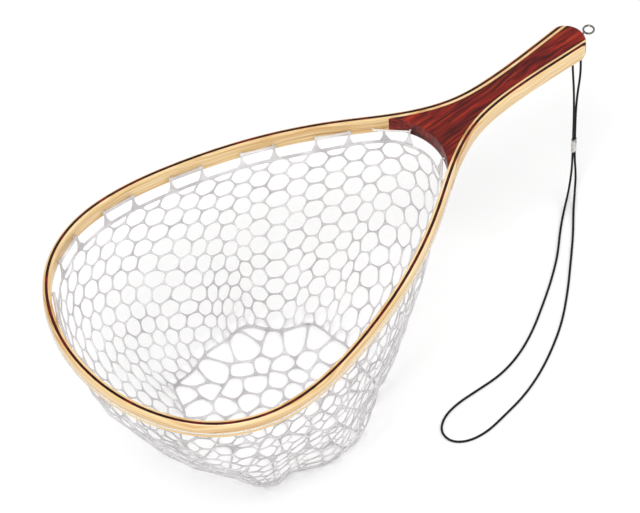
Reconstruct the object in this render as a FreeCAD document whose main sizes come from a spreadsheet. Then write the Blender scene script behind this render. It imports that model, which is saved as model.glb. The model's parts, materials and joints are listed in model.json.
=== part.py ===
"""Landing net: a laminated wooden hoop and handle, a moulded rubber bag laced inside the
hoop, a screw eye in the butt and a wrist lanyard on a second eye under the handle.

Millimetres. +X runs along the handle from the hoop's tip to the butt, +Z is up, and Y = 0 is
the plane of symmetry of the frame. The net stands on the flat bottom of its bag, so the
origin is on the floor under the middle of the frame's length.
"""
import FreeCAD, Part
import math
import os

Vector = FreeCAD.Vector
UP = Vector(0, 0, 1)

doc = FreeCAD.newDocument("LandingNet")

# ---------------------------------------------------------------- driving dimensions
SIZES = [
    ("rim_top", 228.0),           # height of the frame's top face over the floor
    ("frame_thick", 17.5),        # top face to bottom face of the frame
    ("edge_round", 3.2),          # rounding of the frame's outer edges
    ("inner_round", 1.2),         # easing of the edges round the mouth
    ("accent_half", 1.3),         # half the width of the dark accent strip
    ("outer_strip_width", 2.3),
    ("inner_strip_width", 2.4),
    ("butt_end", 288.2),          # X of the rounded end of the handle
    ("butt_side", 273.7),         # X where the sides end and the rounded end starts
    ("throat_side", 84.7),        # X where the throat block meets the sides of the mouth
    ("throat_deep", 101.2),       # X of the deepest point of the throat's arc
    ("throat_half", 40.0),        # half the width of the mouth at the throat
    ("groove_width", 2.2),
    ("groove_depth", 1.4),
    ("groove_end", 86.7),         # X where the groove round the hoop runs out
    ("hole_radius", 1.15),
    ("lacing_radius", 0.9),
    ("sleeve_pitch", 71.0),       # along the hoop, from sleeve to sleeve of the bag
    ("sleeve_length", 31.0),
    ("first_sleeve", 20.0),       # along the hoop, from the tip to the middle of a sleeve
    ("lacing_standoff", 2.3),     # cord in a sleeve, from the inner face to its centre
    ("lacing_drop", 2.0),         # middle of the frame's edge down to the cord's centre
    ("bag_wall", 1.3),
    ("bag_rim", 216.0),           # height of the bag's upper edge, inside the frame
    ("eye_wire", 1.0),            # radius of the wire of both screw eyes
    ("eye_ring", 5.0),            # radius of the ring, to the middle of the wire
    ("eye_centre", 298.9),        # X of the middle of the butt eye's ring
    ("eye_screw", 18.0),          # length of screw in the wood
    ("lanyard_x", 283.7),         # X of the eye under the handle
    ("lanyard_drop", 8.8),        # underside of the handle to the middle of that eye's ring
    ("lanyard_screw", 5.75),      # length of that eye's screw in the wood
    ("lanyard_radius", 1.1),
    ("strand_gap", 2.4),          # middle to middle of the two strands in the crimp
    ("crimp_length", 18.0),
    ("crimp_bottom", 55.0),
    ("crimp_wall", 0.7),
]
sheet = doc.addObject("Spreadsheet::Sheet", "Sizes")
for row, (alias, value) in enumerate(SIZES, start=1):
    sheet.set("A%d" % row, alias)
    sheet.set("B%d" % row, str(value))
    sheet.setAlias("B%d" % row, alias)
doc.recompute()


def size(alias):
    """The value of one driving dimension."""
    return float(sheet.get(alias))


# Half of the frame's plan, tip to butt: the middle line of the accent strip. The other half
# is its mirror image in Y = 0.
HALF_PLAN = [
    (-284.3, 76.0),
    (-252.3, 118.0),
    (-205.3, 140.5),
    (-162.3, 143.3),
    (-93.3, 130.6),
    (-20.3, 105.0),
    (49.7, 67.5),
    (106.7, 31.5),
    (143.7, 17.0),
    (190.7, 12.2),
    (239.7, 13.4),
    (288.7, 15.6),
]
TIP = (-301.3, 0.0)

MOUTH_POINTS = 7              # plan points that lie along the mouth, before the throat
OVERSIZE = 3.0                # how far a square strip or a cutter stands outside the frame
OVERRUN = 1.0                 # how far a hole's cutter runs past the face that it opens on
FAR = 400.0                   # larger than any half of the net, for a cutter that takes it all
NEAR = 0.5                    # how close a point has to be to count as the one looked for

# The bag's flat bottom, an oval on the floor.
BAG_MIDDLE = -101.0
BAG_HALF_LENGTH = 102.0
BAG_HALF_WIDTH = 96.0

# The lanyard's route: out of its eye, down through the crimp, round the wrist loop on the
# floor, up through the crimp again and back to the eye.
LANYARD_ROUTE = [
    (283.5, 0.0, 199.0),
    (278.6, 0.0, 199.3),
    (279.0, 0.0, 189.0),
    (280.1, 0.0, 170.0),
    (281.9, 0.0, 144.0),
    (282.6, 0.0, 114.0),
    (282.5, 0.0, 84.0),
    (282.5, 0.2, 46.0),
    (280.3, -1.2, 25.0),
    (271.2, -7.0, 8.5),
    (255.7, -17.0, 1.3),
    (236.7, -32.0, 1.3),
    (213.7, -53.0, 1.3),
    (187.7, -71.5, 1.3),
    (160.7, -88.0, 1.3),
    (132.7, -104.0, 1.3),
    (104.7, -115.5, 1.3),
    (76.7, -121.0, 1.3),
    (48.7, -119.5, 1.3),
    (24.7, -118.0, 1.3),
    (4.7, -121.0, 1.3),
    (-9.3, -131.0, 1.3),
    (-10.3, -146.0, 1.3),
    (1.7, -157.0, 1.3),
    (22.7, -161.0, 1.3),
    (46.7, -158.0, 1.3),
    (74.7, -154.0, 1.3),
    (103.7, -145.0, 1.3),
    (132.7, -131.5, 1.3),
    (161.7, -114.5, 1.3),
    (190.7, -91.5, 1.3),
    (217.7, -67.0, 1.3),
    (242.7, -44.0, 1.3),
    (262.7, -23.0, 1.3),
    (277.2, -9.5, 5.0),
    (285.0, -2.6, 19.0),
    (285.0, 0.2, 46.0),
    (284.9, 0.0, 84.0),
    (285.0, 0.0, 114.0),
    (286.7, 0.0, 138.0),
    (289.7, 0.0, 160.0),
    (290.0, 0.0, 178.0),
    (289.1, 0.0, 190.5),
    (288.9, 0.0, 199.3),
    (283.9, 0.0, 199.0),
]


# ---------------------------------------------------------------- plan curves
def through(points):
    """A smooth curve through plan points."""
    curve = Part.BSplineCurve()
    curve.interpolate(Points=[Vector(x, y, 0) for x, y in points])
    return curve


PLAN = [(x, -y) for x, y in reversed(HALF_PLAN)] + [TIP] + HALF_PLAN
MIDDLE_LINE = through(PLAN)
MIDDLE_EDGE = MIDDLE_LINE.toShape()


def outward_at(parameter):
    """The plan direction out of the hoop, at a parameter of the middle line."""
    along = MIDDLE_LINE.tangent(parameter)[0]
    return Vector(-along.y, along.x, 0)


def beside(offset, points=PLAN):
    """The plan points moved out of the hoop by an offset (negative is inwards)."""
    moved = []
    for x, y in points:
        parameter = MIDDLE_LINE.parameter(Vector(x, y, 0))
        place = Vector(x, y, 0) + outward_at(parameter) * offset
        moved.append((place.x, place.y))
    return moved


def rim_point(distance, offset, height):
    """A point beside the middle line, a distance along it from the tip (+ is the +Y side)."""
    parameter = MIDDLE_EDGE.getParameterByLength(MIDDLE_EDGE.Length / 2 + distance)
    place = MIDDLE_LINE.value(parameter) + outward_at(parameter) * offset
    return Vector(place.x, place.y, height)


def bend_at(distance):
    """Curvature of the middle line, a distance along it from the tip."""
    return MIDDLE_LINE.curvature(MIDDLE_EDGE.getParameterByLength(MIDDLE_EDGE.Length / 2
                                                                  + distance))


accent_out = size("accent_half")
accent_in = -size("accent_half")
frame_out = accent_out + size("outer_strip_width")
mouth_face = accent_in - size("inner_strip_width")
frame_bottom = size("rim_top") - size("frame_thick")
mid_height = size("rim_top") - size("frame_thick") / 2
lacing_height = mid_height - size("lacing_drop")
throat_depth = size("throat_deep") - size("throat_side")
throat_radius = (size("throat_half") ** 2 + throat_depth ** 2) / (2 * throat_depth)
throat_centre = size("throat_deep") - throat_radius


def plane_sketch(body, name, height, geometry):
    """A sketch on the body's own XY plane, raised to a height."""
    sketch = body.newObject("Sketcher::SketchObject", name)
    plane = [item for item in body.Origin.OriginFeatures if item.Role == "XY_Plane"][0]
    sketch.AttachmentSupport = [(plane, "")]
    sketch.MapMode = "FlatFace"
    sketch.AttachmentOffset = FreeCAD.Placement(Vector(0, 0, height), FreeCAD.Rotation())
    sketch.addGeometry(geometry, False)
    return sketch


def new_body(label):
    """A body whose name doesn't clash with the node that is made from it."""
    body = doc.addObject("PartDesign::Body", label + "_body")
    body.Label = label + "_body"
    return body


def pad_from(body, name, height, geometry, length_alias):
    """A pad of a closed outline, its length bound to the sheet."""
    sketch = plane_sketch(body, name + "_outline", height, geometry)
    pad = body.newObject("PartDesign::Pad", name)
    pad.Profile = sketch
    pad.setExpression("Length", "Sizes." + length_alias)
    doc.recompute()
    return pad


def horizontal_edges(feature, wanted):
    """Names of the edges of a pad's top and bottom faces that pass a test."""
    names = []
    for number, edge in enumerate(feature.Shape.Edges, start=1):
        flat = abs(edge.BoundBox.ZLength) < 1e-4
        if flat and wanted(edge):
            names.append("Edge%d" % number)
    return names


def round_edges(body, name, feature, wanted, radius_alias):
    """A fillet on the edges of a pad's top and bottom faces, bound to the sheet."""
    fillet = body.newObject("PartDesign::Fillet", name)
    fillet.Base = (feature, horizontal_edges(feature, wanted))
    fillet.setExpression("Radius", "Sizes." + radius_alias)
    doc.recompute()
    return fillet


def closed_by_line(curve):
    """A curve and the straight line that closes it."""
    return [curve, Part.LineSegment(curve.EndPoint, curve.StartPoint)]


def common(label, first, second):
    """The solid that two objects share."""
    result = doc.addObject("Part::Common", label)
    result.Label = label
    result.Base = first
    result.Tool = second
    return result


def cut(label, base, tool):
    """One object with another taken away."""
    result = doc.addObject("Part::Cut", label)
    result.Label = label
    result.Base = base
    result.Tool = tool
    return result


# ---------------------------------------------------------------- the shaped frame blank
BUTT_TAPER = 0.4              # the sides close in by this before the rounded end
BUTT_GAP = 20.0               # no plan point lies nearer to the rounded end than this


def make_blank():
    """The whole frame's outside, rounded as it is after the glued strips are shaped."""
    side = size("butt_side")
    inside = [point for point in beside(frame_out) if point[0] < side - BUTT_GAP]
    half_width = beside(frame_out)[-1][1] - BUTT_TAPER
    outline = through([(side, -half_width)] + inside + [(side, half_width)])
    end = Part.Arc(Vector(side, half_width, 0), Vector(size("butt_end"), 0, 0),
                   Vector(side, -half_width, 0))
    body = new_body("frame_blank")
    pad = pad_from(body, "blank_pad", frame_bottom, [outline, end], "frame_thick")
    round_edges(body, "blank_round", pad, lambda edge: True, "edge_round")
    return body


def strip_body(label, outer_offset, inner_offset):
    """A bent strip with square edges, from butt to butt round the hoop."""
    outer = through(beside(outer_offset))
    inner = through(beside(inner_offset))
    ends = [Part.LineSegment(outer.StartPoint, inner.StartPoint),
            Part.LineSegment(inner.EndPoint, outer.EndPoint)]
    body = new_body(label)
    pad = pad_from(body, label + "_pad", frame_bottom, [outer, ends[0], inner, ends[1]],
                   "frame_thick")
    return body, pad


# ---------------------------------------------------------------- lacing positions
SLEEVES_EACH_SIDE = 6
HOOP_END = 491.0              # distance along the hoop from the tip to the throat's corners
CORNER_HOLE = HOOP_END - 7.0
THROAT_ANGLE = 24.0           # degrees round the throat's arc, to its two holes
THROAT_HOLE = 9.0             # depth of those holes


def sleeve_spans():
    """Start and end distance along the hoop of each sleeve of the bag."""
    spans = []
    for step in range(-SLEEVES_EACH_SIDE, SLEEVES_EACH_SIDE + 1):
        middle = size("first_sleeve") + step * size("sleeve_pitch")
        spans.append((middle - size("sleeve_length") / 2, middle + size("sleeve_length") / 2))
    return spans


SPANS = sleeve_spans()


def throat_point(angle, depth, height):
    """A point on the throat's arc, moved into the block by a depth."""
    radius = throat_radius + depth
    turn = math.radians(angle)
    return Vector(throat_centre + radius * math.cos(turn), radius * math.sin(turn), height)


def hole(start, end):
    """A round cutter from one point to another, for the lacing cord."""
    direction = end - start
    return Part.makeCylinder(size("hole_radius"), direction.Length, start, direction)


def make_lacing_holes():
    """Cutters for the holes through the strips and the two blind holes in the throat."""
    cutters = []
    distances = [distance for span in SPANS for distance in span]
    for distance in distances + [CORNER_HOLE, -CORNER_HOLE]:
        cutters.append(hole(rim_point(distance, mouth_face - OVERRUN, lacing_height),
                            rim_point(distance, frame_out + OVERRUN, lacing_height)))
    for angle in (THROAT_ANGLE, -THROAT_ANGLE):
        cutters.append(hole(throat_point(angle, -OVERRUN, lacing_height),
                            throat_point(angle, THROAT_HOLE, lacing_height)))
    holes = doc.addObject("Part::Feature", "lacing_holes")
    holes.Shape = Part.makeCompound(cutters)
    return holes


def make_groove():
    """Cutter for the groove round the outside of the hoop, in which the cord lies."""
    floor = frame_out - size("groove_depth")
    body = new_body("groove")
    inner = through(beside(floor))
    outer = through(beside(frame_out + OVERSIZE))
    ends = [Part.LineSegment(outer.StartPoint, inner.StartPoint),
            Part.LineSegment(inner.EndPoint, outer.EndPoint)]
    height = lacing_height - size("groove_width") / 2
    pad_from(body, "groove_pad", height, [outer, ends[0], inner, ends[1]], "groove_width")
    hoop_box = doc.addObject("Part::Box", "hoop_side")
    hoop_box.Length = FAR
    hoop_box.Width = FAR
    hoop_box.Height = FAR
    hoop_box.Placement.Base = Vector(size("groove_end") - FAR, -FAR / 2, 0)
    hoop_box.setExpression("Placement.Base.x", "Sizes.groove_end - %g" % FAR)
    return common("hoop_groove", body, hoop_box)


# ---------------------------------------------------------------- wooden frame
blank = make_blank()
holes = make_lacing_holes()
groove = make_groove()

outer_body, _ = strip_body("outer_square", frame_out + OVERSIZE, accent_out)
accent_body, _ = strip_body("accent_square", accent_out, accent_in)
inner_body, inner_pad = strip_body("inner_square", accent_in, mouth_face)


def on_mouth_side(edge):
    """True for the long edges of the inner strip that border the mouth."""
    middle = edge.valueAt((edge.FirstParameter + edge.LastParameter) / 2)
    middle_x_of_mouth = TIP[0] - mouth_face
    return abs(middle.x - middle_x_of_mouth) < NEAR


round_edges(inner_body, "inner_round_edges", inner_pad, on_mouth_side, "inner_round")

outer_shaped = common("outer_shaped", blank, outer_body)
accent_shaped = common("accent_shaped", blank, accent_body)
inner_shaped = common("inner_shaped", blank, inner_body)
outer_grooved = cut("outer_grooved", outer_shaped, groove)
outer_strip = cut("outer_strip", outer_grooved, holes)
accent_strip = cut("accent_strip", accent_shaped, holes)
inner_strip = cut("inner_strip", inner_shaped, holes)


def make_core_body():
    """The throat block and handle core, in one piece, with the mouth's arc cut in it."""
    side = size("throat_side")
    half = size("throat_half")
    body = new_body("core")
    pad = pad_from(body, "core_pad", frame_bottom, closed_by_line(through(beside(mouth_face))),
                   "frame_thick")
    arc = Part.Arc(Vector(side, -half, 0), Vector(size("throat_deep"), 0, 0),
                   Vector(side, half, 0))
    corners = [Vector(side, half, 0), Vector(side, FAR, 0), Vector(-FAR, FAR, 0),
               Vector(-FAR, -FAR, 0), Vector(side, -FAR, 0), Vector(side, -half, 0)]
    lines = [Part.LineSegment(a, b) for a, b in zip(corners, corners[1:])]
    sketch = plane_sketch(body, "mouth_outline", frame_bottom, [arc] + lines)
    pocket = body.newObject("PartDesign::Pocket", "mouth")
    pocket.Profile = sketch
    pocket.Type = "ThroughAll"
    pocket.Midplane = True
    doc.recompute()
    if pocket.Shape.Volume > 0.6 * pad.Shape.Volume:      # the mouth is over half of the pad
        raise RuntimeError("the mouth isn't cut out of the core")

    def on_arc(edge):
        middle = edge.valueAt((edge.FirstParameter + edge.LastParameter) / 2)
        return abs(middle.x - size("throat_deep")) < NEAR

    round_edges(body, "throat_round", pocket, on_arc, "inner_round")
    return body


def make_eye(label, centre, shank_direction, shank_length, ring_axis):
    """A screw eye: a closed ring of wire on a straight shank."""
    ring = doc.addObject("Part::Torus", label + "_ring")
    ring.setExpression("Radius1", "Sizes.eye_ring")
    ring.setExpression("Radius2", "Sizes.eye_wire")
    ring.Placement = FreeCAD.Placement(centre, FreeCAD.Rotation(UP, ring_axis))
    shank = doc.addObject("Part::Cylinder", label + "_shank")
    shank.setExpression("Radius", "Sizes.eye_wire")
    shank.Height = shank_length
    start = centre + shank_direction * size("eye_ring")
    shank.Placement = FreeCAD.Placement(start, FreeCAD.Rotation(UP, shank_direction))
    eye = doc.addObject("Part::Fuse", label)
    eye.Label = label
    eye.Base = ring
    eye.Tool = shank
    return eye


core_body = make_core_body()
butt_centre = Vector(size("eye_centre"), 0, mid_height)
butt_shank = size("eye_centre") - size("eye_ring") - size("butt_end") + size("eye_screw")
butt_screw_eye = make_eye("butt_screw_eye", butt_centre, Vector(-1, 0, 0), butt_shank, UP)
lanyard_centre = Vector(size("lanyard_x"), 0, frame_bottom - size("lanyard_drop"))
lanyard_shank = size("lanyard_drop") - size("eye_ring") + size("lanyard_screw")
lanyard_screw_eye = make_eye("lanyard_screw_eye", lanyard_centre, UP, lanyard_shank,
                             Vector(1, 0, 0))

eye_bores = doc.addObject("Part::Feature", "eye_bores")
eye_bores.Shape = Part.makeCompound([
    Part.makeCylinder(size("eye_wire"), size("eye_screw") + OVERRUN,
                      Vector(size("butt_end") + OVERRUN, 0, mid_height), Vector(-1, 0, 0)),
    Part.makeCylinder(size("eye_wire"), size("lanyard_screw") + OVERRUN,
                      Vector(size("lanyard_x"), 0, frame_bottom - OVERRUN), UP)])
core_shaped = common("core_shaped", blank, core_body)
core_drilled = cut("core_drilled", core_shaped, holes)
handle_core = cut("handle_core", core_drilled, eye_bores)

doc.recompute()

# ---------------------------------------------------------------- cords
TIGHT_BEND = 1.2              # radius where the lacing turns into a hole or a sleeve
RING_POINTS = 53              # route points of the lacing round the hoop
SEAT_CLEARANCE = 0.1          # between the cord and the bottom of its groove
DIP_GAP = 0.1                 # a dip's ends stop this far short of the ring


def rounded_path(points, tight=None):
    """Straight runs joined by tangent arcs. An arc's radius is 0.45 of its shorter run over
    the tangent of half the turn, or the tight radius where one is given for that point."""
    points = [Vector(*point) for point in points]
    edges = []
    radii = []
    last = points[0]
    for number in range(1, len(points) - 1):
        before = points[number - 1] - points[number]
        after = points[number + 1] - points[number]
        turn = math.pi - before.getAngle(after)
        radius = 0.45 * min(before.Length, after.Length) / math.tan(turn / 2)
        if tight and number in tight:
            radius = min(radius, tight[number])
        radii.append(radius)
        back = radius * math.tan(turn / 2)
        before.normalize()
        after.normalize()
        start = points[number] + before * back
        end = points[number] + after * back
        bisector = before + after
        bisector.normalize()
        centre = points[number] + bisector * (radius / math.cos(turn / 2))
        middle = centre - bisector * radius
        edges.append(Part.LineSegment(last, start).toShape())
        edges.append(Part.Arc(start, middle, end).toShape())
        last = end
    edges.append(Part.LineSegment(last, points[-1]).toShape())
    return Part.Wire(edges), radii


def tube(name, points, radius, tight=None):
    """A round cord along a rounded path, with its volume checked."""
    path, radii = rounded_path(points, tight)
    start = Vector(*points[0])
    direction = Vector(*points[1]) - start
    profile = Part.Wire([Part.makeCircle(radius, start, direction)])
    solid = path.makePipeShell([profile], True, False)
    expected = math.pi * radius ** 2 * path.Length
    print("%s: length %.1f, volume/expected %.4f, smallest radius %.2f"
          % (name, path.Length, solid.Volume / expected, min(radii)))
    return solid, radii


def make_lacing():
    """The lacing cord: it lies in the groove, and dips through a pair of holes at each
    sleeve of the bag. At the throat its ends go into the block's two holes."""
    radius = size("lacing_radius")
    seat = frame_out - size("groove_depth") + radius + SEAT_CLEARANCE
    inside = mouth_face - size("lacing_standoff")
    ring_points = []
    spacing = 2 * CORNER_HOLE / (RING_POINTS - 1)
    for step in range(RING_POINTS):
        distance = -CORNER_HOLE + spacing * step
        # Arcs through runs of this length pass inside their points by this much.
        inset = spacing ** 2 * bend_at(distance) / 8
        ring_points.append(rim_point(distance, seat + inset, lacing_height))
    corner = []
    for sign in (1, -1):
        corner.append([
            rim_point(sign * CORNER_HOLE, inside, lacing_height),
            throat_point(sign * THROAT_ANGLE, -size("lacing_standoff"), lacing_height),
            throat_point(sign * THROAT_ANGLE, THROAT_HOLE - OVERRUN, lacing_height)])
    plus, minus = corner
    route = list(reversed(minus)) + ring_points + plus
    last = len(route) - 1
    tight = {number: TIGHT_BEND for number in (1, 2, 3, last - 1, last - 2, last - 3)}
    solid, _ = tube("lacing_cord ring", route, radius, tight)
    dips = []
    root = seat - radius - DIP_GAP
    for start, end in SPANS:
        points = [rim_point(start, root, lacing_height), rim_point(start, inside, lacing_height),
                  rim_point(end, inside, lacing_height), rim_point(end, root, lacing_height)]
        dip, _ = tube("lacing_cord dip", points, radius,
                      {1: TIGHT_BEND, 2: TIGHT_BEND})
        dips.append(dip)
    cord = doc.addObject("Part::Feature", "lacing_cord")
    cord.Label = "lacing_cord"
    cord.Shape = Part.makeCompound([solid] + dips)
    return cord


def make_lanyard():
    """The doubled cord and its wrist loop, one length of cord from the eye to the eye."""
    cord = doc.addObject("Part::Feature", "lanyard_cord")
    cord.Label = "lanyard_cord"
    solid, radii = tube("lanyard_cord", LANYARD_ROUTE, size("lanyard_radius"))
    cord.Shape = solid
    print("lanyard radii", [round(radius, 1) for radius in radii])
    return cord


CRIMP_CLEARANCE = 0.05        # between a strand and the crimp's bore


def make_crimp():
    """The oval metal sleeve crimped over the lanyard's two strands."""
    body = doc.addObject("PartDesign::Body", "crimp_sleeve")
    body.Label = "crimp_sleeve"
    half = size("strand_gap") / 2
    outer = size("lanyard_radius") + size("crimp_wall")
    centre = size("lanyard_x")
    left = Vector(centre - half, 0, 0)
    right = Vector(centre + half, 0, 0)
    side = Vector(0, outer, 0)
    oval = [Part.LineSegment(left + side, right + side),
            Part.Arc(right + side, right + Vector(outer, 0, 0), right - side),
            Part.LineSegment(right - side, left - side),
            Part.Arc(left - side, left - Vector(outer, 0, 0), left + side)]
    bores = [Part.Circle(left, UP, size("lanyard_radius") + CRIMP_CLEARANCE),
             Part.Circle(right, UP, size("lanyard_radius") + CRIMP_CLEARANCE)]
    pad_from(body, "crimp_pad", size("crimp_bottom"), oval + bores, "crimp_length")
    return body


lacing_cord = make_lacing()
lanyard_cord = make_lanyard()
crimp_sleeve = make_crimp()


# ---------------------------------------------------------------- bag
BAG_CLEARANCE = 2.2           # the bag's rim stands off the frame's inner face
BAG_OVERRUN = 0.5             # the inside's cutter runs past the rim
THROAT_RIM_ANGLES = (39.0, 20.0)      # degrees round the throat's arc, to the bag's points
SIDE_SPREAD = 1.35            # draws the oval's points to its sides, as the hoop's points lie
BAG_PROFILE = [               # share of the rim's height, share of the way from the rim to
    (1.0, 0.00, 0.0),         # the bottom oval, and how far that oval is drawn in there
    (0.80, 0.07, 0.0),
    (0.50, 0.30, 0.0),
    (0.22, 0.68, 0.0),
    (0.07, 0.93, 0.0),
    (0.0, 1.00, 7.0),
]


def rim_outline(clearance):
    """Points round the mouth, clear of the frame's inner face."""
    wall = mouth_face - clearance
    sides = beside(wall, [TIP] + HALF_PLAN[:MOUTH_POINTS])
    throat = [throat_point(angle, -clearance, 0) for angle in THROAT_RIM_ANGLES]
    upper = sides[1:] + [(point.x, point.y) for point in throat]
    lower = [(x, -y) for x, y in reversed(upper)]
    return [sides[0]] + upper + [(throat_point(0, -clearance, 0).x, 0.0)] + lower


def bag_section(clearance, share, inset, height):
    """A level outline of the bag: a share of the way from the rim to the bottom oval."""
    rim = rim_outline(clearance)
    points = []
    for x, y in rim:
        turn = math.atan2(y * SIDE_SPREAD, x - BAG_MIDDLE)
        low_x = BAG_MIDDLE + (BAG_HALF_LENGTH - inset) * math.cos(turn)
        low_y = (BAG_HALF_WIDTH - inset) * math.sin(turn)
        points.append(Vector(x + (low_x - x) * share, y + (low_y - y) * share, height))
    curve = Part.BSplineCurve()
    curve.interpolate(Points=points, PeriodicFlag=True)
    return curve


def bag_loft(body, kind, name, wall, lowest, highest):
    """One loft of the bag's level outlines, moved in by a wall, between two heights."""
    sections = []
    for number, (level, share, inset) in enumerate(BAG_PROFILE):
        height = lowest + (highest - lowest) * level
        curve = bag_section(BAG_CLEARANCE + wall, share, inset + wall, height)
        flat = curve.copy()
        flat.translate(Vector(0, 0, -height))
        sections.append(plane_sketch(body, "%s_section_%d" % (name, number), height, [flat]))
    doc.recompute()
    loft = body.newObject(kind, name)
    loft.Profile = sections[0]
    loft.Sections = sections[1:]
    doc.recompute()
    return loft


def make_bag():
    """The bag as a plain open shell of its true outer shape."""
    body = doc.addObject("PartDesign::Body", "net_bag")
    body.Label = "net_bag"
    bag_loft(body, "PartDesign::AdditiveLoft", "bag_outside", 0.0, 0.0, size("bag_rim"))
    full = body.Shape.Volume
    bag_loft(body, "PartDesign::SubtractiveLoft", "bag_inside", size("bag_wall"),
             size("bag_wall"), size("bag_rim") + BAG_OVERRUN)
    print("bag: outside volume %.0f, shell %.0f" % (full, body.Shape.Volume))
    return body


net_bag = make_bag()

# ---------------------------------------------------------------- checks and export
PARTS = [outer_strip, accent_strip, inner_strip, handle_core, butt_screw_eye, lacing_cord,
         net_bag, lanyard_screw_eye, lanyard_cord, crimp_sleeve]

doc.recompute()
for item in doc.Objects:
    if "Invalid" in item.State or "Error" in item.State:
        raise RuntimeError("failed feature: %s %s" % (item.Name, item.State))
os.makedirs("parts", exist_ok=True)
for item in PARTS:
    shape = item.Shape
    if shape.isNull() or not shape.isValid():
        raise RuntimeError("bad shape: " + item.Label)
    box = shape.BoundBox
    print("%-18s solids %d volume %9.0f  x %.1f..%.1f  y %.1f..%.1f  z %.1f..%.1f"
          % (item.Label, len(shape.Solids), shape.Volume, box.XMin, box.XMax, box.YMin,
             box.YMax, box.ZMin, box.ZMax))
    shape.exportStep("parts/%s.step" % item.Label)
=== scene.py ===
# %% [markdown]
# # A landing net
# A trout angler's landing net: a hoop and handle laminated from bent strips of wood, a deep
# bag moulded in clear rubber, and an elastic wrist lanyard. The wooden strips, the holes and
# the metal come from the CAD frame. This lesson adds what a CAD model leaves plain: the net
# itself, the limp cord, and the finish of every surface.

# %% The frame
import bmesh
import bpy
import json
import math
from mathutils import Matrix, Vector, noise
from mathutils.bvhtree import BVHTree


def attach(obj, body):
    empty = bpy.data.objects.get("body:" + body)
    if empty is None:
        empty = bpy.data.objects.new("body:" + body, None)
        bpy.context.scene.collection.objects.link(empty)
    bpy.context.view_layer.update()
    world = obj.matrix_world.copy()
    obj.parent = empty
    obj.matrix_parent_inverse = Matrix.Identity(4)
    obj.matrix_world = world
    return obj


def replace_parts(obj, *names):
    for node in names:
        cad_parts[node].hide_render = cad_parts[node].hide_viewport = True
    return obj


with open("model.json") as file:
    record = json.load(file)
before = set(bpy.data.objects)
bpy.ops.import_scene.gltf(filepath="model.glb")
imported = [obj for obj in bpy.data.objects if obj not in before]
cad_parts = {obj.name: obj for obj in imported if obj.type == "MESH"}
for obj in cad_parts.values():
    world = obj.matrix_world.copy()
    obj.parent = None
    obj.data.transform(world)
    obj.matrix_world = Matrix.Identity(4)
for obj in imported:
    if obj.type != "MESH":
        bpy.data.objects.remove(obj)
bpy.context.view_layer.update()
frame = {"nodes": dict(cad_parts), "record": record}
MM = 0.001
TURN = 2 * math.pi
noise.seed_set(4)           # unset, the noise differs from one run to the next
print("frame:", len(frame["nodes"]), "CAD nodes")

# %% [markdown]
# ## Camera
# The camera comes first, because the lanyard is laid out for it. A long lens a few metres
# away keeps the net's far side nearly as large as its near side. The view direction is
# built from an azimuth, an elevation and a small roll, and the three axes go straight into
# the camera's matrix, which is easier to read than Euler angles.

# %% Camera
AZIMUTH, ELEVATION, ROLL = math.radians(-38.77), math.radians(51.76), math.radians(-3.0)
TARGET = Vector((-67.4, -38.6, 228.0)) * MM
DISTANCE = 3.565
LENS = 225.0

back = Vector((math.sin(AZIMUTH) * math.cos(ELEVATION),
               -math.cos(AZIMUTH) * math.cos(ELEVATION), math.sin(ELEVATION)))
right = Vector((math.cos(AZIMUTH), math.sin(AZIMUTH), 0.0))
right = Matrix.Rotation(ROLL, 3, back) @ right
camera_data = bpy.data.cameras.new("camera")
camera_data.lens = LENS
camera = bpy.data.objects.new("camera", camera_data)
bpy.context.collection.objects.link(camera)
axes = Matrix((right, back.cross(right), back)).transposed().to_4x4()
camera.matrix_world = Matrix.Translation(TARGET + back * DISTANCE) @ axes
bpy.context.scene.camera = camera
print("camera: %.0f mm lens, %.2f m away" % (LENS, DISTANCE))

# %% [markdown]
# ## Helpers for finishes
# A finish is a small tree of nodes that ends in one shader. Colours are read off a chart as
# hex values, which are sRGB. Shaders work in linear light, so one function converts them.
# A second sets a node's inputs, and a third adds a node with its settings and inputs. The
# size of a pattern is thought of in millimetres, and a noise wants it as so many per metre.

# %% Material helpers
def linear(code):
    """A hex colour as linear RGBA."""
    parts = [int(code[i:i + 2], 16) / 255 for i in (1, 3, 5)]
    return [c / 12.92 if c <= 0.04045 else ((c + 0.055) / 1.055) ** 2.4 for c in parts] + [1.0]


def feed(tree, node, **inputs):
    """Sets a node's inputs, by name or _number: a value, or a socket to link from."""
    for key, value in inputs.items():
        name = int(key[1:]) if key[0] == "_" else key.replace("_", " ")
        if isinstance(value, bpy.types.NodeSocket):
            tree.links.new(value, node.inputs[name])
        else:
            node.inputs[name].default_value = value


def add(tree, kind, settings=None, stops=(), **inputs):
    """One node with its settings, its ramp's stops as positions and hex codes, and inputs."""
    node = tree.nodes.new(kind)
    for key, value in (settings or {}).items():
        setattr(node, key, value)
    for number, (position, code) in enumerate(stops):
        elements = node.color_ramp.elements
        element = elements[number] if number < 2 else elements.new(position)
        element.position = position
        element.color = linear(code)
    feed(tree, node, **inputs)
    return node


def new_finish(name):
    """An empty node material, its tree and its shader."""
    material = bpy.data.materials.new(name)
    material.use_nodes = True
    tree = material.node_tree
    return material, tree, tree.nodes["Principled BSDF"]


def per_metre(sizes):
    """How many of each size in mm go into a metre."""
    return tuple(1000.0 / size for size in sizes)


print("a mid grey, #808080, is %.2f in linear light" % linear("#808080")[0])

# %% [markdown]
# ## Bent ash
# The light strips are ash, steamed and bent round a form, so their growth lines run along
# the strip. An image of planks would need unwrapping round the hoop. A noise that is squeezed
# in Z and stretched in X and Y draws level lines on the upright faces and follows the bend
# with no unwrapping at all. A slow noise lifts and lowers the lines, as the long flames of
# flat-sawn ash do.

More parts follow.
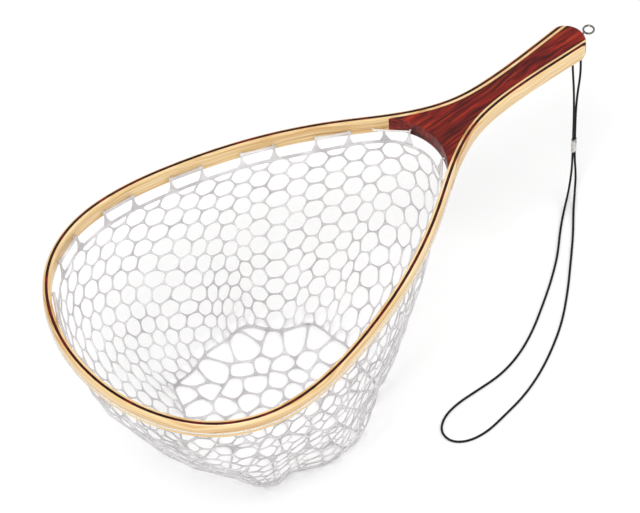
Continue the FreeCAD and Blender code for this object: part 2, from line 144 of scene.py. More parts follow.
# %% Ash finish
FLAME_LENGTH = 70.0         # mm over which a growth line wanders
FLAME_LIFT = 16.0           # mm, the most that the slow noise lifts it
ASH_LINE = (151.5, 151.5, 2.909)    # mm along X, Y and Z from one growth line to the next


def ash():
    # Varnished wood: straw with honey lines, and a thin coat that gives a soft wet shine.
    material, tree, shader = new_finish("varnished_bent_ash")
    place = add(tree, "ShaderNodeTexCoord").outputs["Object"]
    slow = add(tree, "ShaderNodeTexNoise", Vector=place, Scale=1000 / FLAME_LENGTH, Detail=2.0)
    lift = add(tree, "ShaderNodeVectorMath", {"operation": "MULTIPLY_ADD"},
               _0=slow.outputs["Color"], _1=(0.0, 0.0, FLAME_LIFT * MM), _2=place)
    squeezed = add(tree, "ShaderNodeVectorMath", {"operation": "MULTIPLY"},
                   _0=lift.outputs["Vector"], _1=per_metre(ASH_LINE))
    lines = add(tree, "ShaderNodeTexNoise", Vector=squeezed.outputs["Vector"], Scale=1.0,
                Detail=4.0, Roughness=0.62).outputs["Fac"]
    colour = add(tree, "ShaderNodeValToRGB", Fac=lines,
                 stops=[(0.30, "#b98648"), (0.42, "#d6ad70"), (0.55, "#e6c78f"),
                        (0.72, "#f1dab0")])
    bump = add(tree, "ShaderNodeBump", Height=lines, Strength=0.06, Distance=0.4 * MM)
    feed(tree, shader, Base_Color=colour.outputs["Color"], Normal=bump.outputs["Normal"],
         Roughness=0.36, Coat_Weight=0.45, Coat_Roughness=0.12)
    return material


bent_ash = ash()
print("finish:", bent_ash.name)

# %% [markdown]
# ## Accent strip
# Between the two light strips lies one thin dark strip, nearly black where its grain
# closes up and wine red where it opens. A flat dark colour would look like a painted line,
# so the same squeezed noise draws it, in darker colours.

# %% Accent finish
ACCENT_STREAK = (18.18, 18.18, 2.0)     # mm along X, Y and Z


def dark_strip():
    # Dark varnished wood: so deep a red that only its light streaks show the colour.
    material, tree, shader = new_finish("varnished_dark_accent")
    place = add(tree, "ShaderNodeTexCoord").outputs["Object"]
    streaks = add(tree, "ShaderNodeVectorMath", {"operation": "MULTIPLY"}, _0=place,
                  _1=per_metre(ACCENT_STREAK))
    grain = add(tree, "ShaderNodeTexNoise", Vector=streaks.outputs["Vector"], Scale=1.0,
                Detail=3.0, Roughness=0.6)
    colour = add(tree, "ShaderNodeValToRGB", Fac=grain.outputs["Fac"],
                 stops=[(0.36, "#0f0202"), (0.50, "#3a0605"), (0.64, "#6c0f0a")])
    feed(tree, shader, Base_Color=colour.outputs["Color"], Roughness=0.45,
         Specular_IOR_Level=0.2, Coat_Weight=0.08, Coat_Roughness=0.10)
    return material


dark_accent = dark_strip()
print("finish:", dark_accent.name)

# %% [markdown]
# ## Red hardwood
# The handle core is a red tropical hardwood cut along the handle. One noise looks like
# marble, so three scales make it: broad bands of light and dark, wavy growth lines a few
# millimetres apart, and short dark pores. Each is a noise stretched along X, and the bands
# bend the lines.

# %% Red hardwood finish
WOOD_BAND = (100.0, 22.22, 22.22)       # mm along X, Y and Z
WOOD_LINE = (62.5, 3.333, 4.167)
WOOD_PORE = (9.091, 0.6667, 0.6667)
LINE_BEND = (0.0, 20.0 * MM, 12.0 * MM)     # how far the bands bend the lines


def red_hardwood():
    # Varnished hardwood: a deep red that turns orange and nearly black in streaks.
    material, tree, shader = new_finish("varnished_red_hardwood")
    place = add(tree, "ShaderNodeTexCoord").outputs["Object"]
    broad_place = add(tree, "ShaderNodeVectorMath", {"operation": "MULTIPLY"}, _0=place,
                      _1=per_metre(WOOD_BAND))
    broad = add(tree, "ShaderNodeTexNoise", Vector=broad_place.outputs["Vector"], Scale=1.0,
                Detail=2.0)
    bend = add(tree, "ShaderNodeVectorMath", {"operation": "MULTIPLY_ADD"},
               _0=broad.outputs["Color"], _1=LINE_BEND, _2=place).outputs["Vector"]
    line_place = add(tree, "ShaderNodeVectorMath", {"operation": "MULTIPLY"}, _0=bend,
                     _1=per_metre(WOOD_LINE))
    lines = add(tree, "ShaderNodeTexNoise", Vector=line_place.outputs["Vector"], Scale=1.0,
                Detail=5.0, Roughness=0.6).outputs["Fac"]
    pore_place = add(tree, "ShaderNodeVectorMath", {"operation": "MULTIPLY"}, _0=bend,
                     _1=per_metre(WOOD_PORE))
    pores = add(tree, "ShaderNodeTexNoise", Vector=pore_place.outputs["Vector"], Scale=1.0,
                Detail=2.0)
    wood = add(tree, "ShaderNodeValToRGB", Fac=lines,
               stops=[(0.28, "#220303"), (0.42, "#560a07"), (0.54, "#85180c"),
                      (0.70, "#a83a16")])
    dashes = add(tree, "ShaderNodeValToRGB", Fac=pores.outputs["Fac"],
                 stops=[(0.30, "#5a1410"), (0.42, "#ffffff")])
    mixed = add(tree, "ShaderNodeMix", {"data_type": "RGBA", "blend_type": "MULTIPLY"},
                _0=0.75, _6=wood.outputs["Color"], _7=dashes.outputs["Color"])
    shade = add(tree, "ShaderNodeValToRGB", Fac=broad.outputs["Fac"],
                stops=[(0.34, "#8a7a7a"), (0.60, "#ffffff")])
    final = add(tree, "ShaderNodeMix", {"data_type": "RGBA", "blend_type": "MULTIPLY"},
                _0=0.85, _6=mixed.outputs[2], _7=shade.outputs["Color"])
    bump = add(tree, "ShaderNodeBump", Height=lines, Strength=0.05, Distance=0.4 * MM)
    feed(tree, shader, Base_Color=final.outputs[2], Normal=bump.outputs["Normal"],
         Roughness=0.45, Specular_IOR_Level=0.2, Coat_Weight=0.12, Coat_Roughness=0.08)
    return material


hardwood = red_hardwood()
print("finish:", hardwood.name)

# %% [markdown]
# ## Plated wire and ferrule
# The screw eyes are nickel-plated wire and the ferrule is bare aluminium, pressed on in a
# tool. A metal takes its colour from reflection, so the finish is mostly roughness, broken
# by a noise of handling marks. Real marks are under a tenth of a millimetre. They are drawn
# far coarser, because finer ones would blur to one grey.

# %% Metal finishes
def metal(name, dark, bright, roughness, mark):
    # Metal: dull marks a few millimetres across break up the bright reflections.
    material, tree, shader = new_finish(name)
    place = add(tree, "ShaderNodeTexCoord").outputs["Object"]
    marks = add(tree, "ShaderNodeTexNoise", Vector=place, Scale=1000 / mark,
                Detail=3.0).outputs["Fac"]
    spread = add(tree, "ShaderNodeMapRange", Value=marks, To_Min=roughness * 0.7,
                 To_Max=roughness * 1.5)
    tint = add(tree, "ShaderNodeValToRGB", Fac=marks, stops=[(0.35, dark), (0.55, bright)])
    feed(tree, shader, Base_Color=tint.outputs["Color"], Roughness=spread.outputs["Result"],
         Metallic=1.0)
    return material


# The nickel's two colours are painted darker than plated wire is. This is a painted reflection
# of dark surroundings, which the white dome doesn't give. The aluminium keeps its own colours.
nickel_with_painted_reflection = metal("nickel_wire_painted_dark_reflection", "#34312e", "#8f8b84", roughness=0.16, mark=1.8)
aluminium = metal("pressed_aluminium", "#6f6c67", "#cfcdc9", roughness=0.32, mark=2.6)
print("finishes:", nickel_with_painted_reflection.name, aluminium.name)

# %% [markdown]
# ## Clear rubber
# The bag is injection-moulded clear rubber. Full transmission would make it glass, and no
# transmission makes it chalk. In the real rubber light goes a little way in and comes out
# scattered, so the strands look milky grey with brighter middles. A quarter of transmission
# under a cool pale tint gives that, and a fine bump stands for the matt mould.

# %% Clear rubber finish
CLOUD = 22.0                # mm, the milky patches
MATT_GRAIN = 1.2            # mm, coarser than the mould's own, so that it shows


def clear_rubber():
    # Clear rubber from a matt mould: milky, with small soft highlights.
    material, tree, shader = new_finish("moulded_clear_rubber")
    place = add(tree, "ShaderNodeTexCoord").outputs["Object"]
    cloud = add(tree, "ShaderNodeTexNoise", Vector=place, Scale=1000 / CLOUD, Detail=2.0)
    tint = add(tree, "ShaderNodeValToRGB", Fac=cloud.outputs["Fac"],
               stops=[(0.35, "#cdc9cb"), (0.65, "#f1eff0")])
    fine = add(tree, "ShaderNodeTexNoise", Vector=place, Scale=1000 / MATT_GRAIN, Detail=2.0)
    bump = add(tree, "ShaderNodeBump", Height=fine.outputs["Fac"], Strength=0.10,
               Distance=0.2 * MM)
    feed(tree, shader, Base_Color=tint.outputs["Color"], Normal=bump.outputs["Normal"],
         Roughness=0.22, IOR=1.45, Transmission_Weight=0.25)
    return material


rubber = clear_rubber()
print("finish:", rubber.name)

# %% [markdown]
# ## Lacing line
# A twisted nylon line, nearly white, lies in the groove and goes through the wood at each
# sleeve. Its lay could be modelled as strands, but it is under two millimetres thick, so a
# noise of the lay's pitch in colour and bump is enough.

# %% Lacing line finish
TWIST = 1.5                 # mm, the pitch of the lay


def lacing_line():
    # Nylon line: white and slightly see-through, with a broken silky shine.
    material, tree, shader = new_finish("twisted_white_line")
    place = add(tree, "ShaderNodeTexCoord").outputs["Object"]
    twist = add(tree, "ShaderNodeTexNoise", Vector=place, Scale=1000 / TWIST,
                Detail=2.0).outputs["Fac"]
    tint = add(tree, "ShaderNodeValToRGB", Fac=twist,
               stops=[(0.35, "#d9d6cf"), (0.60, "#fbfaf7")])
    bump = add(tree, "ShaderNodeBump", Height=twist, Strength=0.4, Distance=0.3 * MM)
    feed(tree, shader, Base_Color=tint.outputs["Color"], Normal=bump.outputs["Normal"],
         Roughness=0.35, Transmission_Weight=0.2)
    return material


white_line = lacing_line()
print("finish:", white_line.name)

# %% [markdown]
# ## Braided elastic
# The lanyard is rubber in a black braided cover. A pattern on Object coordinates would cut
# across a cord that bends, so the braid follows the cord's own UV map, in which U runs along
# it and V round it. Two sine waves that lean opposite ways are multiplied, and the product
# is high where two yarns cross. The yarns are drawn coarser than real ones, so that they
# show.

# %% Braided elastic finish
LANYARD_LENGTH = 1068.0 * MM
BRAID_PITCH = 6.271 * MM    # along the cord
BRAID_SWEEP = 8.0           # radians of the wave in one turn round the cord


def black_elastic():
    # Braided polyester: a matt black with faint grey crossings and hardly any shine.
    material, tree, shader = new_finish("braided_black_elastic")
    uv = add(tree, "ShaderNodeUVMap").outputs["UV"]
    ribs = []
    for lean in (1.0, -1.0):
        lay = add(tree, "ShaderNodeMapping", Vector=uv,
                  Scale=(TURN * LANYARD_LENGTH / BRAID_PITCH, BRAID_SWEEP * lean, 1.0))
        cross = add(tree, "ShaderNodeVectorMath", {"operation": "DOT_PRODUCT"},
                    _0=lay.outputs["Vector"], _1=(1.0, 1.0, 0.0))
        wave = add(tree, "ShaderNodeMath", {"operation": "SINE"}, _0=cross.outputs["Value"])
        ribs.append(wave.outputs["Value"])
    height = add(tree, "ShaderNodeMath", {"operation": "MULTIPLY"}, _0=ribs[0],
                 _1=ribs[1]).outputs["Value"]
    tint = add(tree, "ShaderNodeValToRGB", Fac=height,
               stops=[(0.0, "#0b0a0b"), (0.7, "#262427")])
    bump = add(tree, "ShaderNodeBump", Height=height, Strength=0.35, Distance=0.2 * MM)
    feed(tree, shader, Base_Color=tint.outputs["Color"], Normal=bump.outputs["Normal"],
         Roughness=0.65, Specular_IOR_Level=0.2)
    return material


elastic = black_elastic()
print("finish:", elastic.name)

# %% [markdown]
# ## Finishes on the CAD nodes
# The strips, the core, the lacing line and the metal keep the shapes that the CAD gave them.
# Only their finish changes, so each node's plain material is taken off its mesh and the new
# one is put on. The two light strips share one finish, and so do the two eyes.

# %% Finishes on the CAD nodes
finishes = {
    "outer_strip": bent_ash, "inner_strip": bent_ash, "accent_strip": dark_accent,
    "handle_core": hardwood, "butt_screw_eye": nickel_with_painted_reflection, "lanyard_screw_eye": nickel_with_painted_reflection,
    "lacing_cord": white_line, "crimp_sleeve": aluminium}
for node, finish in finishes.items():
    data = frame["nodes"][node].data
    data.materials.clear()
    data.materials.append(finish)
print("finishes on", len(finishes), "CAD nodes")

# %% [markdown]
# ## Wrist lanyard
# The lanyard is a metre of elastic cord. It comes out of its eye, goes down through the
# ferrule, lies in one long loop on the floor and comes back the same way. A bent tube of
# straight runs and arcs would look like wire. A NURBS curve with the route's points as
# control points is smooth like limp cord, and cuts inside the corners as a real one does.

# %% Lanyard
LANYARD_DIAMETER = 2.2 * MM
LANYARD_ROUTE = [           # mm
    (283.5, 0.0, 199.0), (278.6, 0.0, 199.3), (279.0, 0.0, 189.0), (280.1, 0.0, 170.0),
    (281.9, 0.0, 144.0), (282.6, 0.0, 114.0), (282.5, 0.0, 84.0), (282.5, 0.2, 46.0),
    (280.3, -1.2, 25.0), (271.2, -7.0, 8.5), (255.7, -17.0, 1.3), (236.7, -32.0, 1.3),
    (213.7, -53.0, 1.3), (187.7, -71.5, 1.3), (160.7, -88.0, 1.3), (132.7, -104.0, 1.3),
    (104.7, -115.5, 1.3), (76.7, -121.0, 1.3), (48.7, -119.5, 1.3), (24.7, -118.0, 1.3),
    (4.7, -121.0, 1.3), (-9.3, -131.0, 1.3), (-10.3, -146.0, 1.3), (1.7, -157.0, 1.3),
    (22.7, -161.0, 1.3), (46.7, -158.0, 1.3), (74.7, -154.0, 1.3), (103.7, -145.0, 1.3),
    (132.7, -131.5, 1.3), (161.7, -114.5, 1.3), (190.7, -91.5, 1.3), (217.7, -67.0, 1.3),
    (242.7, -44.0, 1.3), (262.7, -23.0, 1.3), (277.2, -9.5, 5.0), (285.0, -2.6, 19.0),
    (285.0, 0.2, 46.0), (284.9, 0.0, 84.0), (285.0, 0.0, 114.0), (286.7, 0.0, 138.0),
    (289.7, 0.0, 160.0), (290.0, 0.0, 178.0), (289.1, 0.0, 190.5), (288.9, 0.0, 199.3),
    (283.9, 0.0, 199.0)]


def tube(name, route, radius, finish, round_steps, run_steps, closed=False):
    """A round tube along a NURBS curve with the route's points as its control points."""
    curve = bpy.data.curves.new(name, "CURVE")
    curve.dimensions = "3D"
    curve.bevel_depth = radius
    curve.bevel_resolution = round_steps
    curve.resolution_u = run_steps
    curve.use_fill_caps = not closed
    spline = curve.splines.new("NURBS")
    spline.points.add(len(route) - 1)
    for point, place in zip(spline.points, route):
        point.co = (*place, 1.0)
    spline.order_u = 3
    spline.use_endpoint_u = not closed
    spline.use_cyclic_u = closed
    curve.materials.append(finish)
    piece = bpy.data.objects.new(name, curve)
    bpy.context.collection.objects.link(piece)
    print(name, "has", len(route), "points")
    return piece


lanyard = tube("wrist_lanyard", [Vector(place) * MM for place in LANYARD_ROUTE],
               LANYARD_DIAMETER / 2, elastic, round_steps=4, run_steps=10)
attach(lanyard, "lanyard")
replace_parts(lanyard, "lanyard_cord")

# %% [markdown]
# ## The bag's surface
# The CAD bag is a plain shell of the right outer shape. Rays from the bag's middle to that
# shell find the surface at any height, and walking round each level ring by length gives
# an even grid: u goes once round the bag from the hoop's tip, v goes down the wall.

# %% Surface of the bag
shell = frame["nodes"]["net_bag"]
shell_tree = BVHTree.FromObject(shell, bpy.context.evaluated_depsgraph_get())
bag_base = next(mount for mount in frame["record"]["mounts"] if mount["name"] == "bag_base")
BAG_AXIS = Vector(bag_base["pos_m"])    # on the upright line through the foot's middle
BAND_HEIGHT = 201.0 * MM    # where the rim band meets the netting
FOOT_HEIGHT = 3.0 * MM
WALL_MIDDLE = 0.6 * MM      # from the shell's inner face to the middle of its wall
LEVELS = 32
RAYS = 240                  # points round each ring
PLAN_LEVEL = 0.3            # the slope's share at which the way outwards is measured
SIDE_STEP = 0.004           # of the way round, to each side of the point


def level_ring(height):
    """Points round the bag at one height, evenly spaced along the ring."""
    start = Vector((BAG_AXIS.x, 0.0, height))
    found = []
    for step in range(RAYS):
        turn = math.pi - TURN * step / RAYS
        heading = Vector((math.cos(turn), math.sin(turn), 0.0))
        found.append(shell_tree.ray_cast(start, heading)[0] + heading * WALL_MIDDLE)
    lengths = [0.0]
    for step in range(RAYS):
        lengths.append(lengths[-1] + (found[(step + 1) % RAYS] - found[step]).length)
    even = []
    leg = 0
    for step in range(RAYS):
        wanted = lengths[-1] * step / RAYS
        while lengths[leg + 1] < wanted:
            leg += 1
        share = (wanted - lengths[leg]) / (lengths[leg + 1] - lengths[leg])
        even.append(found[leg].lerp(found[(leg + 1) % RAYS], share))
    return even


rings = [level_ring(BAND_HEIGHT + (FOOT_HEIGHT - BAND_HEIGHT) * n / (LEVELS - 1))
         for n in range(LEVELS)]

# How far down the slope each level is, as a share of the whole slope.
slope = [0.0]
for upper_ring, lower_ring in zip(rings, rings[1:]):
    step_down = sum((a - b).length for a, b in zip(upper_ring, lower_ring)) / RAYS
    slope.append(slope[-1] + step_down)
slope = [distance / slope[-1] for distance in slope]


def on_bag(u, v):
    """The point of the bag's wall at u round it and v down its slope, both 0 to 1."""
    row = next(n for n in range(LEVELS - 1) if slope[n + 1] >= v - 1e-6)
    down = (v - slope[row]) / (slope[row + 1] - slope[row])
    column = (u % 1.0) * RAYS
    first = int(column) % RAYS
    across = column - int(column)
    upper = rings[row][first].lerp(rings[row][(first + 1) % RAYS], across)
    lower = rings[row + 1][first].lerp(rings[row + 1][(first + 1) % RAYS], across)
    return upper.lerp(lower, down)


def outward_on_bag(u):
    """The level direction out of the bag at u round it."""
    along = on_bag(u + SIDE_STEP, PLAN_LEVEL) - on_bag(u - SIDE_STEP, PLAN_LEVEL)
    return Vector((-along.y, along.x, 0.0)).normalized()


girth = sum((rings[0][n] - rings[0][n - 1]).length for n in range(RAYS))
print("bag: %.0f mm round its rim" % (girth / MM))

# %% [markdown]
# ## The netting
# The mesh is a honeycomb of rounded cells. A Wireframe modifier could make the strands, but
# it gives no hold on how round a cell's corners are. Here one six-sided circle is copied
# over a flat sheet, the copies are welded, and cuts trim the sheet straight at the rim and
# the foot. Sent onto the bag's surface, each cell is inset and its middle deleted, which
# leaves strands. Solidify and one subdivision round them into moulded rubber. Each edge has
# a middle vertex, so that the subdivision rounds only the corners of a cell.

# %% Netting helpers
COLUMNS = 58                # even, so that the pattern closes at the seam
ROWS = 10
STRAND = 1.4 * MM
CELL_SIDE = 11.0 * MM       # of the flat honeycomb, before it is sent onto the bag
ROW_PITCH = math.sqrt(3.0) * CELL_SIDE
TRIM = 0.03 * ROW_PITCH     # the cut stands off the cells' level edges by this


def honeycomb(columns, rows, side):
    """A flat sheet of welded hexagons with pointed ends along X."""
    sheet = bmesh.new()
    for column in range(columns):
        for row in range(rows):
            down = math.sqrt(3.0) * side * (row + 0.5 * (column % 2))
            centre = Vector((1.5 * side * column, -down, 0.0))
            bmesh.ops.create_circle(sheet, cap_ends=True, segments=6, radius=side,
                                    matrix=Matrix.Translation(centre)
                                    @ Matrix.Rotation(math.pi / 2, 4, "Z"))
    bmesh.ops.remove_doubles(sheet, verts=sheet.verts, dist=side * 0.02)
    return sheet


def trim(sheet, point, normal):
    """Cuts the sheet along a line and drops the side that the normal points to."""
    everything = sheet.verts[:] + sheet.edges[:] + sheet.faces[:]
    bmesh.ops.bisect_plane(sheet, geom=everything, plane_co=point, plane_no=normal,
                           clear_outer=True)


def to_strands(sheet, width):
    """Gives every edge a middle vertex, insets every cell and deletes its middle."""
    bmesh.ops.bisect_edges(sheet, edges=sheet.edges[:], cuts=1)
    middles = sheet.faces[:]
    bmesh.ops.inset_individual(sheet, faces=middles, thickness=width / 2, use_even_offset=True)
    bmesh.ops.delete(sheet, geom=middles, context="FACES")


def rubber_piece(name, shape, thickness=0.0):
    """A piece of clear rubber, of a flat pattern given a thickness or of a round shape."""
    mesh = bpy.data.meshes.new(name)
    shape.to_mesh(mesh)
    shape.free()
    mesh.shade_smooth()
    mesh.materials.append(rubber)
    piece = bpy.data.objects.new(name, mesh)
    bpy.context.collection.objects.link(piece)
    if thickness:
        solid = piece.modifiers.new("Thickness", "SOLIDIFY")
        solid.thickness = thickness
        solid.offset = 0.0
    rounding = piece.modifiers.new("Rounding", "SUBSURF")
    rounding.levels = 1
    rounding.render_levels = 1
    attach(piece, "net")
    print(name, len(mesh.polygons), "faces")
    return piece


print("netting: %d cells round, %d down" % (COLUMNS, ROWS))

# %% [markdown]
# ## Wall of the bag
# Limp rubber doesn't hang as a clean cone. It falls in soft upright folds that are shallow
# under the rim and deeper towards the foot, and the cells are squeezed narrow on one side
# of a fold and pulled wide on the other. Cloth simulation would fold a closed sheet, but
# this is an open mesh, so the folds are drawn: two slow waves round the bag push the wall in
# and out, two more slide the cells along it, and a little noise breaks the pattern up.
# The band along the rim is extruded from the netting's upper edge, as it is moulded
# in one with it.

# %% Wall
FOLD_DEPTH = 12.0 * MM
FOLD_SLIDE = 0.0085         # of the way round
WIDE_FOLDS, WIDE_LEAN = 7, 0.16         # how many, and how far round they lean on the way down
NARROW_FOLDS, NARROW_LEAN = 11, -0.3
NARROW_SHARE = 0.8          # of the wide folds' depth
SLIDE_WAVES = 16
WAVE_SHARE = 0.55           # brings the two waves together down to about the fold's depth
PULLED_IN = 0.25            # of the fold's depth, by which the foot is drawn inwards
UNEVEN = 1.8 * MM
UNEVEN_WAVES = 60.0         # in a metre
FADE = 6.0                  # the unevenness is whole from a sixth of the way in
BAND_WIDTH = 2.8 * MM


def fold_at(u, v):
    """How far the folds push the wall outwards and slide it round, growing down the wall."""
    grows = v ** 1.3 * (1.15 - 0.55 * v)
    wide = TURN * (WIDE_FOLDS * u + WIDE_LEAN * v)
    narrow = TURN * (NARROW_FOLDS * u + NARROW_LEAN * v)
    wave = math.sin(wide) + NARROW_SHARE * math.sin(narrow)
    slide = math.cos(wide) + 0.5 * math.cos(TURN * SLIDE_WAVES * u)
    return FOLD_DEPTH * grows * WAVE_SHARE * wave, FOLD_SLIDE * grows * slide


def folded(u, v):
    """The place of a netting vertex on the folded wall."""
    v = min(max(v, 0.0), 1.0)
    push, slide = fold_at(u, v)
    place = on_bag(u + slide, v) + outward_on_bag(u) * (push - PULLED_IN * FOLD_DEPTH * v)
    share = min(1.0, FADE * v, FADE * (1.0 - v))
    return place + noise.noise_vector(place * UNEVEN_WAVES) * UNEVEN * share


def close_seam(sheet, seam):
    """Joins the halves of the cells that meet where the sheet closes on itself."""
    edges = [e for e in sheet.edges if e.is_manifold and all(v[seam] for v in e.verts)]
    bmesh.ops.dissolve_edges(sheet, edges=edges, use_verts=False)


def wall_sheet():
    sheet = honeycomb(COLUMNS + 1, ROWS + 1, CELL_SIDE)
    width = 1.5 * CELL_SIDE * COLUMNS
    height = ROW_PITCH * ROWS - 2 * TRIM
    trim(sheet, (0, -TRIM, 0), (0, 1, 0))
    trim(sheet, (0, -TRIM - height, 0), (0, -1, 0))
    trim(sheet, (0, 0, 0), (-1, 0, 0))
    trim(sheet, (width, 0, 0), (1, 0, 0))
    seam = sheet.verts.layers.int.new("seam")
    for vert in sheet.verts:
        vert[seam] = int(min(vert.co.x, width - vert.co.x) < TRIM)
        vert.co = folded(vert.co.x / width, (-vert.co.y - TRIM) / height)
    bmesh.ops.remove_doubles(sheet, verts=sheet.verts, dist=0.2 * MM)
    close_seam(sheet, seam)
    to_strands(sheet, STRAND)
    rim = [e for e in sheet.edges if e.is_boundary
           and min(v.co.z for v in e.verts) > BAND_HEIGHT - 0.1 * MM]
    band = bmesh.ops.extrude_edge_only(sheet, edges=rim)["geom"]
    risen = [item for item in band if isinstance(item, bmesh.types.BMVert)]
    bmesh.ops.translate(sheet, verts=risen, vec=(0, 0, BAND_WIDTH))
    bmesh.ops.recalc_face_normals(sheet, faces=sheet.faces)
    return sheet


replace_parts(rubber_piece("bag_wall_netting", wall_sheet(), STRAND), "net_bag")

# %% [markdown]
# ## Bottom of the bag
# The bottom is a second, flatter panel with larger and less even cells, joined to the wall
# by a thicker seam. The same honeycomb is laid over the foot's outline, cells that fall
# outside are dropped, and the border is pulled out to the seam, which gives the crowded
# cells that a moulder leaves there. Noise moves the rest a little.

# %% Bottom
FOOT_POINTS = 96
BOTTOM_COLUMNS, BOTTOM_ROWS = 13, 11
BOTTOM_CELL = 12.5 * MM
BOTTOM_HEIGHT = 1.9 * MM
BOTTOM_STRAND = 1.55 * MM
BOTTOM_THICK = 1.5 * MM
DROPPED_PAST = 0.95         # of the reach to the foot, for a cell's middle
KEPT_WITHIN = 0.93          # of the reach to the foot, for a vertex inside the border
CELL_DRIFT, DRIFT_WAVES = 6.0 * MM, 70.0        # waves in a metre
RIPPLE, RIPPLE_WAVES = 0.5 * MM, 90.0
foot = [folded(n / FOOT_POINTS, 1.0) for n in range(FOOT_POINTS)]


def foot_reach(heading):
    """Distance from the bag's middle to its foot, in a level direction."""
    turn = math.atan2(heading.y, heading.x)
    nearest = min(foot, key=lambda place: abs(math.remainder(
        math.atan2(place.y, place.x - BAG_AXIS.x) - turn, TURN)))
    return (nearest.xy - BAG_AXIS.xy).length


def bottom_sheet():
    sheet = honeycomb(BOTTOM_COLUMNS, BOTTOM_ROWS, BOTTOM_CELL)
    middle = Vector((1.5 * BOTTOM_CELL * (BOTTOM_COLUMNS - 1) / 2,
                     -math.sqrt(3.0) * BOTTOM_CELL * (BOTTOM_ROWS - 0.5) / 2, 0.0))
    bmesh.ops.translate(sheet, verts=sheet.verts, vec=-middle)
    centres = {face: face.calc_center_median() for face in sheet.faces}
    outside = [face for face, centre in centres.items()
               if centre.length > DROPPED_PAST * foot_reach(centre)]
    bmesh.ops.delete(sheet, geom=outside, context="FACES")
    border = {v for v in sheet.verts if v.is_boundary}
    for vert in sheet.verts:
        reach = foot_reach(vert.co)
        if vert in border:
            vert.co = vert.co.normalized() * reach
        else:
            vert.co += noise.noise_vector(vert.co * DRIFT_WAVES) * CELL_DRIFT
            vert.co = vert.co.normalized() * min(vert.co.length, KEPT_WITHIN * reach)
        vert.co.z = BOTTOM_HEIGHT + RIPPLE * noise.noise(vert.co * RIPPLE_WAVES)
        vert.co += BAG_AXIS
    to_strands(sheet, BOTTOM_STRAND)
    bmesh.ops.recalc_face_normals(sheet, faces=sheet.faces)
    return sheet


rubber_piece("bag_bottom_netting", bottom_sheet(), BOTTOM_THICK)

# %% [markdown]
# ## Foot seam
# The wall and the bottom are moulded together along a thicker round strand. It could be a
# row of bevelled edges, but a closed NURBS tube through the foot's own points is rounder and
# hides the places where the two honeycombs don't meet.

# %% Foot seam
SEAM_RADIUS = 0.95 * MM
SEAM_DROP = 0.8             # of the foot's height, which is between the wall and the bottom
foot_seam = tube("bag_foot_seam", [(place.x, place.y, SEAM_DROP * place.z) for place in foot],
                 SEAM_RADIUS, rubber, round_steps=3, run_steps=12, closed=True)
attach(foot_seam, "net")

# %% [markdown]
# ## Stitches of the lacing cord
# The bag hangs on thirteen stitches of the lacing cord, and its sleeves have to sit on them.
# Their places could be typed in, but they would go wrong as soon as the CAD changes. The
# stitches are separate loops of the CAD cord, so the script walks over that mesh and
# measures each loop's two inner corners.

# %% Stitches of the lacing cord
CORD_RADIUS = 0.9 * MM


def loops_of(node):
    """The vertices of each separate solid of a CAD node."""
    copy = bmesh.new()
    copy.from_mesh(node.data)
    bmesh.ops.remove_doubles(copy, verts=copy.verts, dist=0.01 * MM)
    seen = set()
    loops = []
    for first in copy.verts:
        if first in seen:
            continue
        seen.add(first)
        waiting = [first]
        places = []
        while waiting:
            vert = waiting.pop()
            places.append(vert.co.copy())
            for edge in vert.link_edges:
                other = edge.other_vert(vert)
                if other not in seen:
                    seen.add(other)
                    waiting.append(other)
        loops.append(places)
    copy.free()
    return loops


def nearest_on_rim(place):
    """The number of the point of the bag's rim that lies nearest in plan."""
    return min(range(RAYS), key=lambda n: (rings[0][n].xy - place.xy).length)


def inner_corners(places):
    """The two corners of a stitch that lie inside the mouth, on the cord's middle line."""
    middle = sum(places, Vector()) / len(places)
    number = nearest_on_rim(middle)
    along = (rings[0][(number + 3) % RAYS] - rings[0][number - 3]).normalized()
    inward = Vector((-along.y, along.x, 0.0))
    if inward.dot(BAG_AXIS - middle) < 0:
        inward.negate()
    depth = max((place - middle).dot(inward) for place in places) - CORD_RADIUS
    reach = [(place - middle).dot(along) for place in places]
    return [middle + inward * depth + along * (min(reach) + CORD_RADIUS),
            middle + inward * depth + along * (max(reach) - CORD_RADIUS)]


loops = sorted(loops_of(frame["nodes"]["lacing_cord"]), key=len)
stitches = [inner_corners(places) for places in loops[:-1]]
print(len(stitches), "stitches")

# %% [markdown]
# ## Sleeves
# Each sleeve is a short moulded tube on one stitch, thicker where the cord turns into the
# wood. A cylinder would need its ends flared by hand, so a profile is drawn from one end to
# the other and spun round the stitch.

# %% Sleeves
SLEEVE_PROFILE = [(-0.055, 0.0), (-0.05, 1.3), (-0.01, 1.95), (0.05, 1.75), (0.12, 1.4),
                  (0.5, 1.5), (0.88, 1.4), (0.95, 1.75), (1.01, 1.95), (1.05, 1.3),
                  (1.055, 0.0)]      # share of the sleeve's length, radius in mm


def sleeve_shapes():
    shape = bmesh.new()
    for start, end in stitches:
        along = end - start
        side = along.cross(Vector((0, 0, 1))).normalized()
        rail = [shape.verts.new(start + along * share + side * radius * MM)
                for share, radius in SLEEVE_PROFILE]
        edges = [shape.edges.new(pair) for pair in zip(rail, rail[1:])]
        bmesh.ops.spin(shape, geom=rail + edges, cent=start, axis=along.normalized(),
                       dvec=(0, 0, 0), angle=TURN, steps=12, use_merge=True)
    bmesh.ops.remove_doubles(shape, verts=shape.verts, dist=0.01 * MM)
    bmesh.ops.recalc_face_normals(shape, faces=shape.faces)
    return shape


rubber_piece("bag_lacing_sleeves", sleeve_shapes())

# %% [markdown]
# ## Legs
# Two legs with flared feet join each sleeve to the rim band, and four more stand at the
# throat. A leg could be extruded from the band, but the netting's vertices don't
# lie where the legs stand. Each is a small grid laid from the band up to its sleeve, with a
# width that flares towards the foot, and it runs into the band as one moulding does.

# %% Legs
LEG_TOP, LEG_FLARE = 2.0 * MM, 9.5 * MM     # the width at the top, and what the foot adds
FLARE_POWER = 3.2           # how close to the foot the flare stays
LEG_THICK = 1.5 * MM
THROAT_LEGS = [Vector((78.5, 41.0, 217.3)) * MM, Vector((94.0, 22.0, 217.3)) * MM]


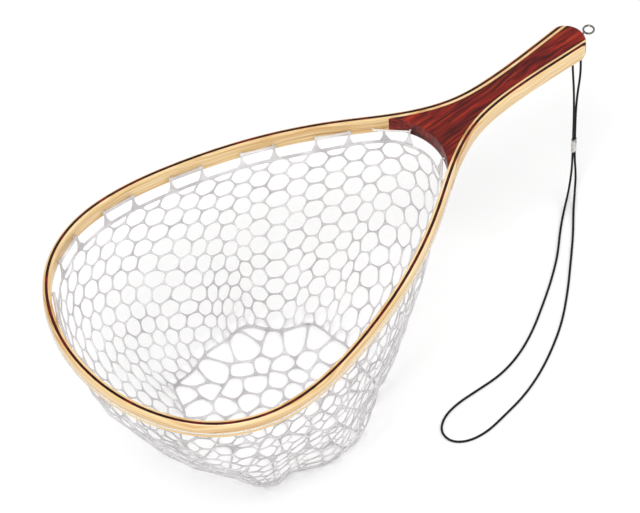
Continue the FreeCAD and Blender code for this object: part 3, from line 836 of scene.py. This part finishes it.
def add_leg(shape, top):
    """One leg from the rim band up to a point, with a flared foot."""
    number = nearest_on_rim(top)
    base = rings[0][number] + Vector((0, 0, 0.5 * BAND_WIDTH))
    along = (rings[0][(number + 1) % RAYS] - rings[0][number - 1]).normalized()
    grid = bmesh.ops.create_grid(shape, x_segments=4, y_segments=6, size=0.5)["verts"]
    for vert in grid:
        rise, aside = vert.co.y + 0.5, vert.co.x
        width = LEG_TOP + LEG_FLARE * (1.0 - rise) ** FLARE_POWER
        vert.co = base.lerp(top, rise) + along * aside * width


def leg_shapes():
    shape = bmesh.new()
    for top in [corner for stitch in stitches for corner in stitch]:
        add_leg(shape, top)
    for top in THROAT_LEGS:
        add_leg(shape, top)
        add_leg(shape, Vector((top.x, -top.y, top.z)))
    return shape


rubber_piece("bag_legs", leg_shapes(), LEG_THICK)

# %% [markdown]
# ## Floor and light
# A white sweep and large soft lights, as in a catalogue studio. Small hard lights would
# sparkle in every cell of the rubber. The world is a plain white dome, so the clear rubber
# has something bright behind it on every side.

# %% Stage
DOME_STRENGTH = 0.75
floor_mesh = bmesh.new()
bmesh.ops.create_grid(floor_mesh, x_segments=1, y_segments=1, size=6.0)
floor_data = bpy.data.meshes.new("floor")
floor_mesh.to_mesh(floor_data)
floor_mesh.free()
floor = bpy.data.objects.new("floor", floor_data)
bpy.context.collection.objects.link(floor)
floor_finish, _, floor_shader = new_finish("white_paper_sweep")
feed(floor_finish.node_tree, floor_shader, Base_Color=linear("#fafafa"), Roughness=0.9)
floor_data.materials.append(floor_finish)

world = bpy.data.worlds.new("white_dome")
world.use_nodes = True
feed(world.node_tree, world.node_tree.nodes["Background"], Color=(1.0, 1.0, 1.0, 1.0),
     Strength=DOME_STRENGTH)
bpy.context.scene.world = world
bpy.context.scene.view_settings.view_transform = "Standard"


def soft_light(name, place, size, power):
    """A square lamp that looks at the origin, its size in metres and its power in watts."""
    light = bpy.data.lights.new(name, "AREA")
    light.size = size
    light.energy = power
    lamp = bpy.data.objects.new(name, light)
    bpy.context.collection.objects.link(lamp)
    lamp.location = place
    lamp.rotation_mode = "QUATERNION"
    lamp.rotation_quaternion = (-Vector(place)).to_track_quat("-Z", "Y")


soft_light("key_softbox", place=(-0.9, -0.6, 2.2), size=1.2, power=26.0)
soft_light("fill_softbox", place=(1.6, -1.2, 1.6), size=1.6, power=9.0)
print("stage: a floor, a white dome and two soft lights")
